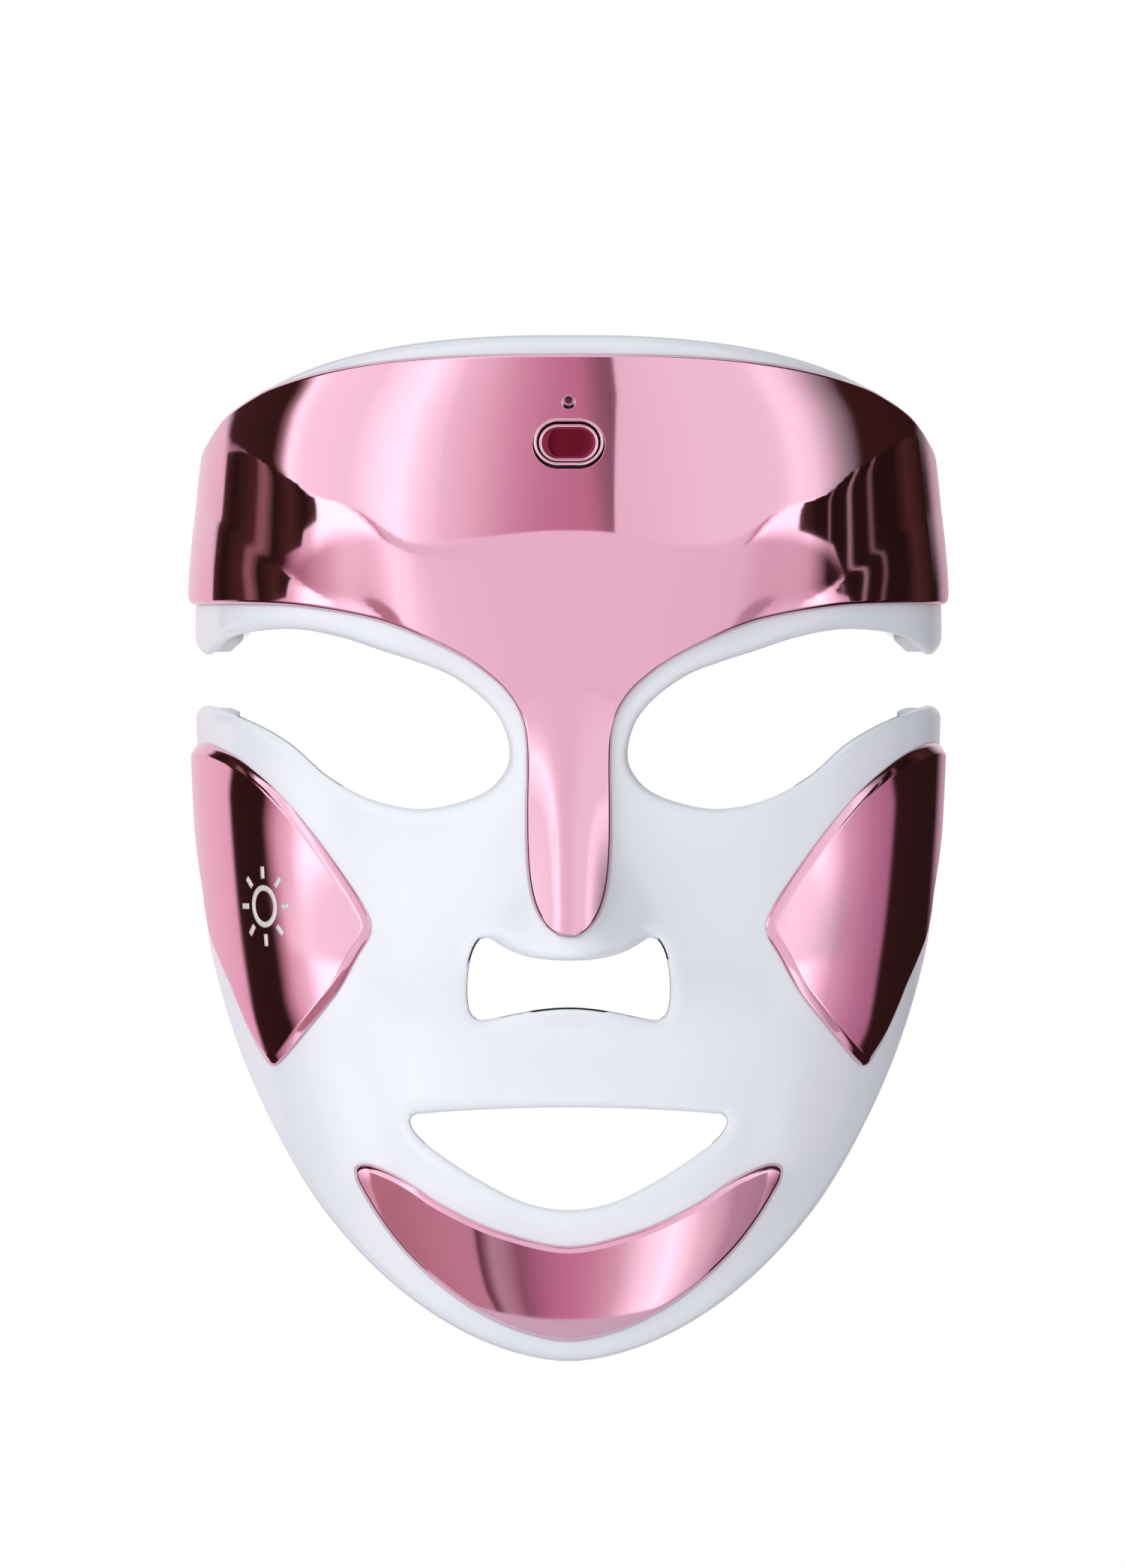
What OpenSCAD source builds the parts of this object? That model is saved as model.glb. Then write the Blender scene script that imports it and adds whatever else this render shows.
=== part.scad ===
/* [Mask size] */
// Half of the head curve's width at the temples
side_w = 88.6; // [84:0.1:94]
// Height of the top edge over the eye level
top_z = 88.3; // [84:0.1:92]
// Depth of the chin edge under the eye level
chin_z = 147; // [142:0.5:152]
// Where the temple edges are cut, as a depth on the head curve
temple_y = 52; // [48:1:56]

/* [Layers] */
// Thickness of the white shell
shell_t = 2; // [1.6:0.1:2.4]
// Thickness of the mirror covers
cover_t = 1.6; // [1.2:0.1:2]
// Thickness of the clear panel over the lights
lens_t = 1.5; // [1.2:0.1:2]
// Space from the shell's front to the clear panel at the cheeks
lens_gap = 6.5; // [6:0.1:8]
// Extra space for the battery and boards behind the forehead
pocket_gap = 6; // [5:0.5:8]
// Thickness of the light boards
board_t = 0.6; // [0.4:0.1:0.8]

/* [Lights] */
// Diameter of one light
led_d = 3.5; // [3:0.1:4]
// Height of one light
led_h = 1.5; // [1:0.1:1.6]

/* [Power button] */
// Height of the button's centre over the eye level
button_z = 62.8; // [60:0.1:66]
// Width of the button's cap
cap_w = 13.8; // [12:0.1:15]
// Height of the button's cap
cap_h = 9; // [8:0.1:10]
// Width of the bright ring round the cap
bezel_w = 0.8; // [0.6:0.1:1.2]
// Travel of the button
button_travel = 0.8; // [0.5:0.1:1]

/* [Strap lugs] */
// Bore for the strap's cord
lug_bore = 5; // [4:0.5:6]
// Thickness of a lug
lug_t = 3; // [2.5:0.5:4]

/* [Hidden] */

// ---- Smooth curve through hand-picked points [position, value], positions rising ----
function piece(pts, z, i = 0) = (i >= len(pts) - 2 || z < pts[i + 1][0]) ? i : piece(pts, z, i + 1);
function rise(pts, i, j) = (pts[j][1] - pts[i][1]) / (pts[j][0] - pts[i][0]);
function slope(pts, i) = rise(pts, max(i - 1, 0), min(i + 1, len(pts) - 1));
function curve(pts, z) =
    let (i = piece(pts, z), h = pts[i + 1][0] - pts[i][0], t = (z - pts[i][0]) / h)
    let (a = slope(pts, i) * h, b = slope(pts, i + 1) * h)
    pts[i][1] * (2 * t * t * t - 3 * t * t + 1) + a * (t * t * t - 2 * t * t + t)
    + pts[i + 1][1] * (3 * t * t - 2 * t * t * t) + b * (t * t * t - t * t);
function ease(a, b, z) = let (t = min(1, max(0, (z - a) / (b - a)))) t * t * (3 - 2 * t);
function ramp(d, w) = (d + sqrt(d * d + w * w)) / 2;

// ---- Head curve: half width, front profile and nose, each against height ----
width_pts = [[-150, side_w - 24], [-120, side_w - 16], [-90, side_w - 9], [-60, side_w - 3.8],
    [-30, side_w - 1.3], [0, side_w], [30, side_w], [50, side_w - 1.7], [70, side_w - 4.3],
    [90, side_w - 9.5]];
front_pts = [[-150, -9], [-130, -20], [-110, -25], [-90, -24], [-60, -18], [-30, -14], [0, -14],
    [30, -19], [50, -18], [70, -13], [90, -3]];
nose_pts = [[-150, 0], [-80, 0], [-68, 3], [-56, 20], [-50, 21], [-40, 18], [-20, 10], [0, 3],
    [12, 0], [90, 0]];
nose_w_pts = [[-150, 16], [-60, 17], [-40, 14], [-20, 12], [0, 12], [90, 14]];
crease_pts = [[0, 35], [34, 38], [48, 48], [60, 53], [81, 69], [95, 76]];
section_power = 2.3;
back_y = 66;
brow_slope = 0.25;
brow_drop = 22;
seat_depth = 8;

function half_w(z) = curve(width_pts, z);
function bump(s) = 1 / ((1 + s * s) * (1 + s * s));
// The brow band leans back under a crease, which fades out at the middle
function brow_soft(x) = 1 + 11 * bump(x / 22);
function brow(x, z) =
    let (d = curve(crease_pts, min(abs(x), 94)) - z, w = brow_soft(x))
    brow_slope * (ramp(d, w) - ramp(d - brow_drop, w));
function nose(x, z) = -curve(nose_pts, z) * bump(x / (1.6 * curve(nose_w_pts, z)));
function relief(x, z) = brow(x, z) + nose(x, z);
function depth_at(z) = back_y - curve(front_pts, z);
function across(t) = pow(max(0, 1 - pow(min(1, abs(t)), section_power)), 1 / section_power);
seat_shift = -seat_depth - curve(front_pts, 0) - relief(0, 0);
function front_y(x, z) = back_y - depth_at(z) * across(x / half_w(z)) + relief(x, z) + seat_shift;

step = 0.2;
function normal(x, z) =
    let (n = section_power, w = half_w(z), d = depth_at(z), t = abs(x) / w, b = across(t))
    let (dw = (half_w(z + step) - half_w(z - step)) / (2 * step))
    let (dd = (depth_at(z + step) - depth_at(z - step)) / (2 * step))
    let (rx = (relief(x + step, z) - relief(x - step, z)) / (2 * step))
    let (rz = (relief(x, z + step) - relief(x, z - step)) / (2 * step))
    let (gx = sign(x) * pow(t, n - 1) / w, gy = -pow(b, n - 1) / d)
    let (gz = -pow(t, n) * dw / w - pow(b, n) * dd / d)
    let (v = [gx - gy * rx, gy, gz - gy * rz])
    v / norm(v);
// Point over the head curve at x, z, moved outwards by an offset
function skin(x, z, out) = [x, front_y(x, z), z] + normal(x, z) * out;

// ---- Outer edge: arch on top, jaw below, a straight rear cut at the temples ----
arch_z = 50;
arch_power = 2.45;
jaw_z = -30;
jaw_power = 1.78;
function arc_w(a, h, p) = a * pow(max(0, 1 - pow(min(1, h), p)), 1 / p);
function outline_w(z) = z > arch_z ? arc_w(half_w(arch_z), (z - arch_z) / (top_z - arch_z), arch_power)
    : z < jaw_z ? arc_w(half_w(jaw_z), (jaw_z - z) / (chin_z + jaw_z), jaw_power) : half_w(z);
function rear_w(z) = half_w(z) * pow(1 - pow((back_y - temple_y) / depth_at(z), section_power),
    1 / section_power);
function edge_w(z) = min(outline_w(z), rear_w(z));
// Sideways angle of a place on the section, and back
function angle_of(x, z) = asin(min(1, pow(abs(x) / half_w(z), section_power / 2)));
function x_of(a, z) = sign(a) * half_w(z) * pow(sin(abs(a)), 2 / section_power);

top_rows = 7;
mid_rows = 21;
chin_rows = 6;
chin_start = -110;
tip_cut = 0.001;
rows = concat([for (i = [0:chin_rows - 1])
        chin_start - (chin_z + chin_start) * (1 - tip_cut) * sin(90 * (chin_rows - i) / chin_rows)],
    [for (i = [0:mid_rows]) chin_start + (arch_z - chin_start) * i / mid_rows],
    [for (i = [1:top_rows])
        arch_z + (top_z - arch_z) * (1 - tip_cut) * pow(sin(90 * i / top_rows), 2 / arch_power)]);
half_cols = 12;
cols = [for (i = [-half_cols:half_cols]) sign(i) * pow(abs(i) / half_cols, 1.3)];
function lens_out(z) = -lens_gap - pocket_gap * ease(14, 40, z);

// A place on the section in degrees and millimetres, drawn in from the outer edge
edge_mid_z = -20;
mm_per_degree = side_w * PI / 180;
function edge_angle(z) = angle_of(edge_w(z), z);
function drawn_in(z, inset) = 1 - inset / norm([edge_angle(z) * mm_per_degree, z - edge_mid_z]);
function place(s, z, inset) =
    let (k = drawn_in(z, inset), low_z = edge_mid_z + (z - edge_mid_z) * k)
    [x_of(s * edge_angle(z) * k, low_z), low_z];
function lift(at, layer) = skin(at[0], at[1], layer(at[1]));

// Closed skin between two layers over a grid of places, with nc places in each row
module skin_over(grid, nc, outer, inner) {
    n = len(grid);
    nr = n / nc;
    front = [for (r = [0:nr - 2], c = [0:nc - 2])
        let (a = r * nc + c, b = a + 1, d = a + nc, e = d + 1) each [[a, b, e], [a, e, d]]];
    back = [for (f = front) [n + f[2], n + f[1], n + f[0]]];
    loop = concat([for (c = [0:nc - 1]) c], [for (r = [1:nr - 1]) r * nc + nc - 1],
        [for (c = [nc - 2:-1:0]) (nr - 1) * nc + c], [for (r = [nr - 2:-1:1]) r * nc]);
    m = len(loop);
    wall = [for (i = [0:m - 1])
        let (a = loop[i], b = loop[(i + 1) % m]) each [[b, a, n + a], [b, n + a, n + b]]];
    polyhedron(concat([for (g = grid) lift(g, outer)], [for (g = grid) lift(g, inner)]),
        concat(front, back, wall));
}
module skin_between(across_list, height_list, outer, inner, inset = 0)
    skin_over([for (z = height_list, s = across_list) place(s, z, inset)], len(across_list),
        outer, inner);

function picked(list, low, high) = [for (v = list) if (v >= low && v <= high) v];
function even(low, high, n) = [for (i = [0:n]) low + (high - low) * i / n];

// ---- Flat outlines, seen from the front and stacked from slices ----
module stack(zs, lows, highs) for (i = [0:len(zs) - 2]) hull()
    polygon([[lows[i], zs[i]], [highs[i], zs[i]], [lows[i + 1], zs[i + 1]], [highs[i + 1], zs[i + 1]]]);
module loft(zs, low_pts, high_pts) stack(zs, [for (z = zs) curve(low_pts, z)],
    [for (z = zs) curve(high_pts, z)]);
module both(zs, pts) stack(zs, [for (z = zs) -curve(pts, z)], [for (z = zs) curve(pts, z)]);
module through() rotate([90, 0, 0]) linear_extrude(300, center = true) children();
module side(s) scale([s, 1]) children();
beyond = 110;

eye_in = [[-20.3, 30], [-18.5, 23.5], [-16, 18], [-13, 15], [-8, 13.5], [-5, 13.5], [0, 15.6],
    [5, 20], [10, 27], [13, 34], [15.6, 42], [18, 48.8], [20, 56], [21, 62]];
eye_low_out = [[-20.3, 38], [-18, 46], [-15.6, 51.4], [-10.4, 58.6], [-5, 64.9], [-2.6, 68.8],
    [0, 74.1], [2.6, 82.3], [3.8, beyond]];
eye_top_out = [[15.6, beyond], [16.2, 86.5], [18, 82.5], [20, 76.4], [21, 66]];
module eye_shape() {
    loft(even(-20.3, 3.8, 10), eye_in, eye_low_out);
    loft([3.8, 6, 9, 12, 15.6], eye_in, [[3, beyond], [16, beyond]]);
    loft(even(15.6, 21, 5), eye_in, eye_top_out);
}

nose_shape_w = [[-68.6, 19.5], [-68, 21.6], [-66, 22.9], [-61, 23.1], [-54, 22.4], [-51, 21.2], [-50, 19.5]];
nose_tip_r = 36;
nose_tip_low = -54.7;
lip_r = 83;
lip_high = -65.6;
module nose_shape() difference() {
    both([-68.6, -68, -66.5, -62, -56, -52.5, -51, -50.3, -50], nose_shape_w);
    translate([0, nose_tip_low + nose_tip_r]) circle(nose_tip_r, $fn = 72);
    translate([0, lip_high - lip_r]) circle(lip_r, $fn = 90);
}

mouth_w = [[-111.7, 1], [-111, 6], [-109.3, 11.9], [-106.7, 17.4], [-104, 21.8], [-99, 29.8],
    [-96.3, 33.2], [-93.7, 35.3], [-91.5, 36.2], [-90.3, 34.5], [-89.4, 26], [-88.5, 8]];
mouth_rows = [-111.7, -111, -109.3, -106.7, -104, -101.5, -99, -96.3, -93.7, -91.5, -90.3, -89.4, -88.5];
module mouth_shape() both(mouth_rows, mouth_w);

// Mirror covers
cover_arch_power = 2.9;
cover_top = 83.9;
brow_edge = [[-48.8, 0.5], [-47, 4], [-42, 7], [-34, 9], [-26, 10], [-15, 9.9], [-5, 9.7], [0, 10.5],
    [5, 13], [10, 18], [15, 26], [20, 37], [23.5, 47], [26, 62], [26.8, 76], [27.5, beyond]];
brow_rows = concat([-48.8, -48.2, -47], even(-44, 16, 12), [19, 21.5, 23.5, 25, 26, 26.8, 27.5]);
module forehead_shape() {
    both(brow_rows, brow_edge);
    both([27.5, arch_z], [[27, beyond], [60, beyond]]);
    arch = [for (i = [0:14]) arch_z + (cover_top - arch_z) * sin(90 * i / 14)];
    polygon(concat([for (z = arch) [arch_w(z), z]], [for (i = [14:-1:0]) [-arch_w(arch[i]), arch[i]]]));
}
function arch_w(z) = arc_w(side_w, (z - arch_z) / (cover_top - arch_z), cover_arch_power);

cheek_in = [[-80.5, 68.5], [-78, 65.5], [-72.9, 61.4], [-62.5, 53.1], [-52, 47], [-49, 45.5], [-46, 45.6],
    [-43, 47], [-36.4, 51.2], [-26, 59], [-18.2, 65.8], [-13, 71.3], [-7.8, 78.4], [-5.2, 84.5]];
// Distance of the cheek cover's outer edge from the shell's edge, along the skin
cheek_inset = [[-82, 20], [-78, 17.8], [-73, 14.3], [-62, 14.5], [-52, 11.5], [-41, 8.5], [-33, 4.5],
    [-26, 2], [-5, 1.5]];
cheek_cols = 8;
cheek_rows = concat([-80.2, -79.3], even(-78, -9, 13), [-6.8, -5.2]);
function cheek_place(c, z) =
    let (low = angle_of(curve(cheek_in, z), z))
    let (high = edge_angle(z) - curve(cheek_inset, z) / mm_per_degree)
    [x_of(low + (high - low) * c / cheek_cols, z), z];

chin_low = [[-50, -102.8], [-48, -107], [-43.5, -114.5], [-39.6, -119.7], [-34.7, -124.9], [-28.8, -130.1],
    [-21.3, -135.3], [-9.4, -140.5], [0, -142.3], [9.4, -140.5], [21.3, -135.3], [28.8, -130.1],
    [34.7, -124.9], [39.6, -119.7], [43.5, -114.5], [48, -107], [50, -102.8]];
chin_high = [[-50, -102.6], [-48, -101.8], [-44, -102.5], [-39.4, -104.1], [-31.2, -109.3], [-21, -114.5],
    [0, -120], [21, -114.5], [31.2, -109.3], [39.4, -104.1], [44, -102.5], [48, -101.8], [50, -102.6]];
module chin_shape() mirror([1, -1])
    loft(concat([-50, -49.3], even(-48, 48, 20), [49.3, 50]), chin_low, chin_high);

module openings() {
    through() eye_shape();
    through() side(-1) eye_shape();
    through() nose_shape();
    through() mouth_shape();
}

// ---- Power button, set square to the forehead ----
button_n = normal(0, button_z);
button_tilt = atan2(button_n[2], -button_n[1]);
// Places children on the forehead with +Z outwards and +Y up the brow
module on_forehead(z) translate(skin(0, z, 0)) rotate([90 - button_tilt, 0, 0]) children();
module pill(w, h, t) linear_extrude(t) pill_shape(w, h);
module pill_shape(w, h) {
    square([w - h, h], center = true);
    for (s = [-1, 1]) translate([s * (w - h) / 2, 0]) circle(d = h, $fn = 60);
}

// ---- Layers, as offsets from the shell's front at a height ----
cover_gap = 0.15;
rim_gap = 0.1;
fit = 0.2;
function lens_out(z) = -lens_gap - pocket_gap * ease(14, 40, z);
shell_front = function (z) 0;
glue_t = 0.2; // glue line behind the shell
shell_back = function (z) glue_t - shell_t;
cover_front = function (z) cover_gap + cover_t;
cover_back = function (z) cover_gap;
cheek_back = function (z) cover_gap + fit;
lens_front = function (z) lens_out(z);
lens_back = function (z) lens_out(z) - lens_t;
rim_front = function (z) -shell_t - rim_gap;
rim_back = function (z) lens_out(z) + rim_gap;
board_space = 3.4;
board_front = function (z) lens_out(z) + board_space;
board_back = function (z) lens_out(z) + board_space - board_t;

// ---- Shell, covers and clear panel ----
white = [0.93, 0.94, 0.97];
rose = [0.85, 0.5, 0.55];
bezel_gap = 0.35;
light_z = 72.4;
light_bore = 1.8;
light_d = 2.6;
cut_deep = 20;

module button_hole() on_forehead(button_z) translate([0, 0, -cut_deep])
    pill(ring_out(cap_w) + 2 * fit, ring_out(cap_h) + 2 * fit, 2 * cut_deep);
function ring_out(size) = size + 2 * (bezel_gap + bezel_w);
module light_hole() on_forehead(light_z) translate([0, 0, -cut_deep])
    cylinder(d = light_d + 2 * fit, h = 2 * cut_deep, $fn = 48);

module face_shell() color(white) difference() {
    skin_between(cols, rows, shell_front, shell_back);
    openings();
    button_hole();
    light_hole();
}

module cover(low, high, first) intersection() {
    skin_between(picked(cols, first, 1), picked(rows, low, high), cover_front, cover_back);
    through() children();
}
module forehead_cover() color(rose) difference() {
    cover(-60, top_z, -1) forehead_shape();
    button_hole();
    light_hole();
}
module cheek_cover_right() color(rose)
    skin_over([for (z = cheek_rows, c = [0:cheek_cols]) cheek_place(c, z)], cheek_cols + 1,
        cover_front, cheek_back);
module cheek_cover_left() mirror([1, 0]) cheek_cover_right();
module chin_cover() color(rose) cover(-146, -94, -1) chin_shape();

gasket_w = 2.2;
lens_inset = 2.5;
module inner_lens() color([0.8, 0.85, 0.9, 0.5]) difference() {
    skin_between(cols, rows, lens_front, lens_back, lens_inset);
    openings();
}

// ---- Seals between the shell and the clear panel ----
rim_w = 1.6;
module ring_between(outer, inner, width) {
    n = len(rows);
    loop = concat([for (z = rows) [1, z]], [for (i = [n - 1:-1:0]) [-1, rows[i]]]);
    m = len(loop);
    outside = [for (p = loop) place(p[0], p[1], 0)];
    inside = [for (p = loop) place(p[0], p[1], width)];
    points = concat([for (p = outside) lift(p, outer)], [for (p = inside) lift(p, outer)],
        [for (p = inside) lift(p, inner)], [for (p = outside) lift(p, inner)]);
    faces = [for (k = [0:3], i = [0:m - 1])
        let (a = k * m + i, b = k * m + (i + 1) % m, c = ((k + 1) % 4) * m)
        each [[a, c + i, b], [b, c + i, c + (i + 1) % m]]];
    polyhedron(points, faces);
}
module edge_gasket() difference() {
    ring_between(rim_front, lens_back, gasket_w);
    for (s = [-1, 1]) {
        through() offset(r = rim_w + fit) side(s) eye_shape();
        side_lug(s) translate([0, 0, -fit / 2]) lug_body(lug_t + fit, fit);
    }
    socket_place() socket_body(fit);
}

eye_gap_z = 9.7;
module half_space(s) translate([-beyond, -beyond, s > 0 ? eye_gap_z : eye_gap_z - 2 * beyond])
    cube([2 * beyond, 3 * beyond, 2 * beyond]);
module edge_gasket_top() color(white) intersection() {
    edge_gasket();
    half_space(1);
}
module edge_gasket_jaw() color(white) intersection() {
    edge_gasket();
    half_space(-1);
}

module rim(low, high) color(white) intersection() {
    skin_between(cols, picked(rows, low, high), rim_front, rim_back, lens_inset);
    through() difference() {
        offset(r = rim_w) children();
        children();
    }
}
module eye_rim_right() rim(-36, 40) eye_shape();
module eye_rim_left() rim(-36, 40) side(-1) eye_shape();
module nose_rim() rim(-85, -38) nose_shape();
module mouth_rim() rim(-125, -76) mouth_shape();

// ---- Light boards, their lights and the flat cables between them ----
board_inset = 6;
board_white = [0.95, 0.95, 0.93];
cable_amber = [0.8, 0.55, 0.15];
forehead_area = [-0.78, 0.78, 32, 80];
cheek_area = [0.42, 0.9, -80, -30];
lip_area = [-0.3, 0.3, -85.5, -73];
chin_area = [-0.62, 0.62, -138, -120];
module board(area, nc, nr) skin_between(even(area[0], area[1], nc), even(area[2], area[3], nr),
    board_front, board_back, board_inset);
module led_board_forehead() color(board_white) board(forehead_area, 12, 6);
module led_board_cheek_right() color(board_white) board(cheek_area, 6, 7);
module led_board_cheek_left() mirror([1, 0]) led_board_cheek_right();
module led_board_lip() color(board_white) board(lip_area, 8, 3);
module led_board_chin() color(board_white) board(chin_area, 10, 3);

led_lift = 0.35;
led_edge = 0.12;
module led(at) {
    out = normal(at[0], at[1]);
    turn = [0, acos(-out[2]), atan2(-out[1], -out[0])];
    translate(skin(at[0], at[1], board_back(at[1]) - led_lift)) rotate(turn)
        cylinder(d = led_d, h = led_h, $fn = 24);
}
module lights(area, nc, nr) {
    inner_s = led_edge * (area[1] - area[0]) / 2;
    inner_z = led_edge * (area[3] - area[2]);
    for (z = even(area[2] + inner_z, area[3] - inner_z, nr),
            s = even(area[0] + inner_s, area[1] - inner_s, nc))
        led(place(s, z, board_inset));
}
led_red = [0.9, 0.35, 0.3];
module leds_forehead() color(led_red) lights(forehead_area, 11, 4);
module leds_cheek_right() color(led_red) lights(cheek_area, 3, 5);
module leds_cheek_left() mirror([1, 0]) leds_cheek_right();
module leds_lip() color(led_red) lights(lip_area, 4, 1);
module leds_chin() color(led_red) lights(chin_area, 8, 1);

flex_s = 0.06;
flex_gap = 0.003;
flex_low = -44;
flex_high = -34;
module bridge_flex() color(cable_amber) board([-flex_s, flex_s, flex_low, forehead_area[2] - fit], 2, 10);
module cheek_flex_right() color(cable_amber)
    board([flex_s + flex_gap, cheek_area[0] - flex_gap, flex_low, flex_high], 6, 2);
module cheek_flex_left() mirror([1, 0]) cheek_flex_right();

// ---- Electronics behind the forehead ----
board_w = 34;
board_h = 22;
main_board_t = 1;
chip_size = 6;
switch_size = 4;
switch_t = 1.5;
plunger_d = 2;
plunger_t = 0.4;
module main_board() color([0.1, 0.4, 0.2]) on_forehead(button_z)
    translate([-board_w / 2, -board_h / 2, main_board_at]) cube([board_w, board_h, main_board_t]);
module on_board(x, y) on_forehead(button_z) translate([x, y, main_board_at + main_board_t]) children();
chip_at = [8, -9];
module controller_chip() color([0.1, 0.1, 0.1]) on_board(chip_at[0], chip_at[1]) cube([chip_size, chip_size, 1]);
module tactile_switch() color([0.2, 0.2, 0.22]) on_board(0, 0) {
    translate([-switch_size / 2, -switch_size / 2, 0]) cube([switch_size, switch_size, switch_t]);
    cylinder(d = plunger_d, h = switch_t + plunger_t, $fn = 32);
}
status_led_size = [1.6, 0.8, 0.6];
module status_led() color([0.95, 0.9, 0.7])
    on_board(-status_led_size[0] / 2, light_z - button_z - status_led_size[1] / 2) cube(status_led_size);

battery_w = 32;
battery_h = 22;
battery_t = 3.4;
battery_x = -42;
battery_z = 62;
battery_front = -5;
module battery_cell() color([0.6, 0.65, 0.75]) {
    out = normal(battery_x, battery_z);
    translate(skin(battery_x, battery_z, battery_front - battery_t))
        multmatrix(frame_of(out)) translate([-battery_w / 2, -battery_h / 2, 0])
            cube([battery_w, battery_h, battery_t]);
}
// Frame with +Z along a normal and +X level
function frame_of(out) =
    let (x = cross([0, 0, 1], out), level = x / norm(x), up = cross(out, level))
    [[level[0], up[0], out[0]], [level[1], up[1], out[1]], [level[2], up[2], out[2]]];

socket_w = 9;
socket_h = 3.2;
socket_deep = 8.4;
socket_z = 80.5;
socket_at = -7.6;
module socket_place() on_forehead(socket_z) translate([0, 0, socket_at]) rotate([-90, 0, 0]) children();
module socket_body(grow) translate([0, 0, -grow])
    pill(socket_w + 2 * grow, socket_h + 2 * grow, socket_deep + 3 * grow);
socket_wall = 0.35;
tongue_w = 6.4;
tongue_t = 0.7;
module charging_socket() color([0.75, 0.76, 0.78]) socket_place() {
    difference() {
        socket_body(0);
        translate([0, 0, 1]) pill(socket_w - 2 * socket_wall, socket_h - 2 * socket_wall, socket_deep);
    }
    translate([-tongue_w / 2, -tongue_t / 2, 0.5]) cube([tongue_w, tongue_t, socket_deep - 1.5]);
}

// ---- Button, its ring and the status light ----
cap_top = 1.3;
cap_base = -2.9;
flange_t = 0.7;
flange_w = 0.6;
dish_r = 45;
dish_deep = 0.5;
press_gap = 0.3;
main_board_at = cap_base - flange_t - button_travel - press_gap - plunger_t - switch_t - main_board_t;
module power_button() color(rose) on_forehead(button_z) {
    difference() {
        translate([0, 0, cap_base]) pill(cap_w, cap_h, cap_top - cap_base);
        translate([0, 0, cap_top - dish_deep + dish_r]) sphere(dish_r, $fn = 120);
    }
    translate([0, 0, cap_base - flange_t]) pill(cap_w + 2 * flange_w, cap_h + 2 * flange_w, flange_t);
}
bright = [0.9, 0.75, 0.78];
bezel_low = -2.2;
bezel_high = 2;
bezel_step = 0.25;
module button_bezel() color(bright) on_forehead(button_z) difference() {
    union() {
        translate([0, 0, bezel_low]) pill(ring_out(cap_w), ring_out(cap_h), bezel_high - bezel_low);
        translate([0, 0, bezel_low])
            pill(ring_out(cap_w) - bezel_w, ring_out(cap_h) - bezel_w, bezel_high + bezel_step - bezel_low);
    }
    translate([0, 0, bezel_low - 1])
        pill(cap_w + 2 * bezel_gap, cap_h + 2 * bezel_gap, bezel_high - bezel_low + 3);
}
module status_light_rim() color(bright) on_forehead(light_z) translate([0, 0, bezel_low]) difference() {
    cylinder(d = light_d, h = bezel_high - bezel_low, $fn = 48);
    translate([0, 0, -1]) cylinder(d = light_bore, h = bezel_high - bezel_low + 2, $fn = 48);
}
pipe_low = -5.2;
pipe_top = cover_t - 0.6;
module status_light_pipe() color([0.9, 0.9, 0.9]) on_forehead(light_z) translate([0, 0, pipe_low])
    cylinder(d = light_bore - 0.1, h = pipe_top - pipe_low, $fn = 48);

// ---- Strap lugs at the temples ----
lug_z = 44;
lug_x = 80.5;
lug_w = 12;
lug_root = 4;
lug_reach = 10;
lug_y = front_y(edge_w(lug_z), lug_z);
module side_lug(s) translate([s * lug_x, lug_y, lug_z]) mirror([s < 0 ? 1 : 0, 0])
    rotate([0, 90, 0]) translate([0, 0, -lug_t / 2]) children();
module lug_body(t, grow) linear_extrude(t) {
    translate([-lug_w / 2 - grow, -lug_root - grow])
        square([lug_w + 2 * grow, lug_root + lug_reach - lug_w / 2 + grow]);
    translate([0, lug_reach - lug_w / 2]) circle(d = lug_w + 2 * grow, $fn = 64);
}
module strap_lug(s) color(white) side_lug(s) difference() {
    lug_body(lug_t, 0);
    translate([0, lug_reach - lug_w / 2, -1]) cylinder(d = lug_bore, h = lug_t + 2, $fn = 64);
}
module strap_lug_left() strap_lug(-1);
module strap_lug_right() strap_lug(1);

face_shell();
forehead_cover();
cheek_cover_left();
cheek_cover_right();
chin_cover();
inner_lens();
edge_gasket_top();
edge_gasket_jaw();
eye_rim_left();
eye_rim_right();
nose_rim();
mouth_rim();
led_board_forehead();
led_board_cheek_left();
led_board_cheek_right();
led_board_lip();
led_board_chin();
leds_forehead();
leds_cheek_left();
leds_cheek_right();
leds_lip();
leds_chin();
bridge_flex();
cheek_flex_left();
cheek_flex_right();
main_board();
controller_chip();
tactile_switch();
battery_cell();
charging_socket();
power_button();
button_bezel();
status_light_rim();
status_light_pipe();
status_led();
strap_lug_left();
strap_lug_right();
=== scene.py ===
"""Light therapy face mask: smooth skins over the CAD frame, mirror covers, lights and studio."""
import math

import bpy
import numpy as np
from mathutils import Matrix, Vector
from mathutils.geometry import delaunay_2d_cdt


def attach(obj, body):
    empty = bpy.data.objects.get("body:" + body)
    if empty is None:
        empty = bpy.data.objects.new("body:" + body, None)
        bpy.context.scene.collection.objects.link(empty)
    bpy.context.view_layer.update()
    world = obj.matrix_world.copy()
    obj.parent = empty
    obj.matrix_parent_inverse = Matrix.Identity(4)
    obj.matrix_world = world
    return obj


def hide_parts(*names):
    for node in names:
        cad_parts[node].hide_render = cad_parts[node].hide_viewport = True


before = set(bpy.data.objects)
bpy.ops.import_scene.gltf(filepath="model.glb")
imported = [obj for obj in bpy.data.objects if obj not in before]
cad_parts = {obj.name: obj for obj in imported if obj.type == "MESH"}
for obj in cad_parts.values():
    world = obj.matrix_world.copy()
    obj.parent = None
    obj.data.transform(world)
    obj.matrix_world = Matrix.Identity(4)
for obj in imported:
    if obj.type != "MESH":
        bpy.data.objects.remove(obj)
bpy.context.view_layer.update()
MM = 0.001

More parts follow.
